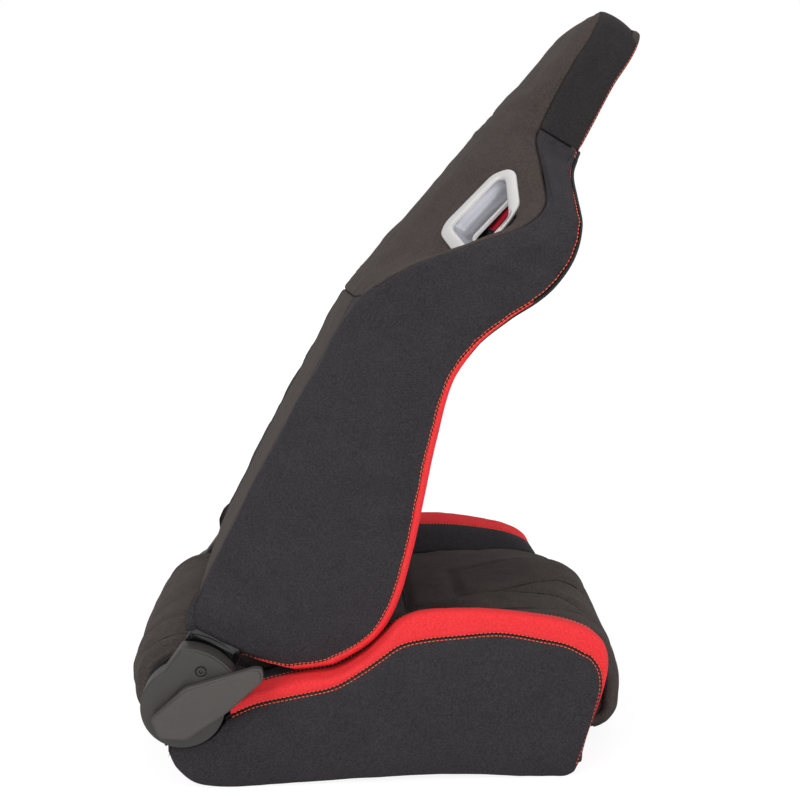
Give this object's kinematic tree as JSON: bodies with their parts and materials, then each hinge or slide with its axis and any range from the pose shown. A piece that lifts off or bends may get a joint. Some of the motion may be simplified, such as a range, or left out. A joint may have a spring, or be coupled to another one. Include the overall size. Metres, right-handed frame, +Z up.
{
  "type": "racing seat",
  "caption": "Folding, reclining sports car seat with winged back, belt slots, side bolsters, disc recliners with levers and a floor bolt pattern.",
  "frame": {"origin": "middle of the floor bolt pattern, in the plane of the cross members' undersides", "axes": "+X the way the occupant faces, +Y to the seat's left, +Z up"},
  "size_m": [0.6082, 0.558, 0.8788],
  "materials": {
    "frame_steel": "satin black coating",
    "zinc_steel": "zinc plated",
    "recliner_steel": "phosphated",
    "arm_black": "gloss black",
    "cover_plastic": "fine grained",
    "lever_plastic": "fine grained, satin edges",
    "fabric_warm": "fine woven, warm black",
    "fabric_cool": "fine woven, cool black",
    "fabric_red": "fine woven, bright red",
    "guide_silver": "satin silver",
    "screw_black": "black oxide"
  },
  "bodies": {
    "base": {"base_side_left": "frame_steel", "base_side_right": "frame_steel", "front_crossmember": "frame_steel", "rear_crossmember": "frame_steel", "front_tube": "frame_steel", "rear_tube": "frame_steel", "seat_pan": "frame_steel", "weld_nuts": "zinc_steel", "cushion_springs": "zinc_steel", "cushion_center": "fabric_warm", "cushion_bolster_left": "fabric_red", "cushion_bolster_right": "fabric_red", "side_panel_left": "fabric_cool", "side_panel_right": "fabric_cool", "recliner_guide_left": "recliner_steel", "recliner_guide_right": "recliner_steel"},
    "backrest": {"recliner_ring_left": "recliner_steel", "recliner_ring_right": "recliner_steel", "recliner_arm_left": "arm_black", "recliner_arm_right": "arm_black", "return_spring_left": "recliner_steel", "return_spring_right": "recliner_steel", "recliner_cover_left": "cover_plastic", "recliner_cover_right": "cover_plastic", "cover_screws": "screw_black", "back_tube_left": "frame_steel", "back_tube_right": "frame_steel", "lower_back_tube": "frame_steel", "upper_back_tube": "frame_steel", "head_frame": "frame_steel", "lumbar_mat": "zinc_steel", "back_center": "fabric_warm", "back_bolster_left": "fabric_cool", "back_bolster_right": "fabric_cool", "shoulder_wing_left": "fabric_warm", "shoulder_wing_right": "fabric_warm", "head_pad": "fabric_warm", "rear_panel": "fabric_warm", "upper_rear_panel": "fabric_warm", "belt_guide_left": "guide_silver", "belt_guide_right": "guide_silver", "belt_guide_front_left": "guide_silver", "belt_guide_front_right": "guide_silver"},
    "lever": {"lever_left": "lever_plastic", "lever_right": "lever_plastic", "sync_rod": "zinc_steel"}
  },
  "joints": [
    {"name": "recline", "type": "hinge", "parent": "base", "child": "backrest", "pos_m": [-0.226, 0, 0.098], "axis": [0, -1, 0], "range_deg": [0, 70]},
    {"name": "lever_lift", "type": "hinge", "parent": "base", "child": "lever", "pos_m": [-0.226, 0, 0.098], "axis": [0, -1, 0], "range_deg": [0, 30], "stiffness_Nm_per_rad": 1.2, "springref_deg": -11.46}
  ]
}
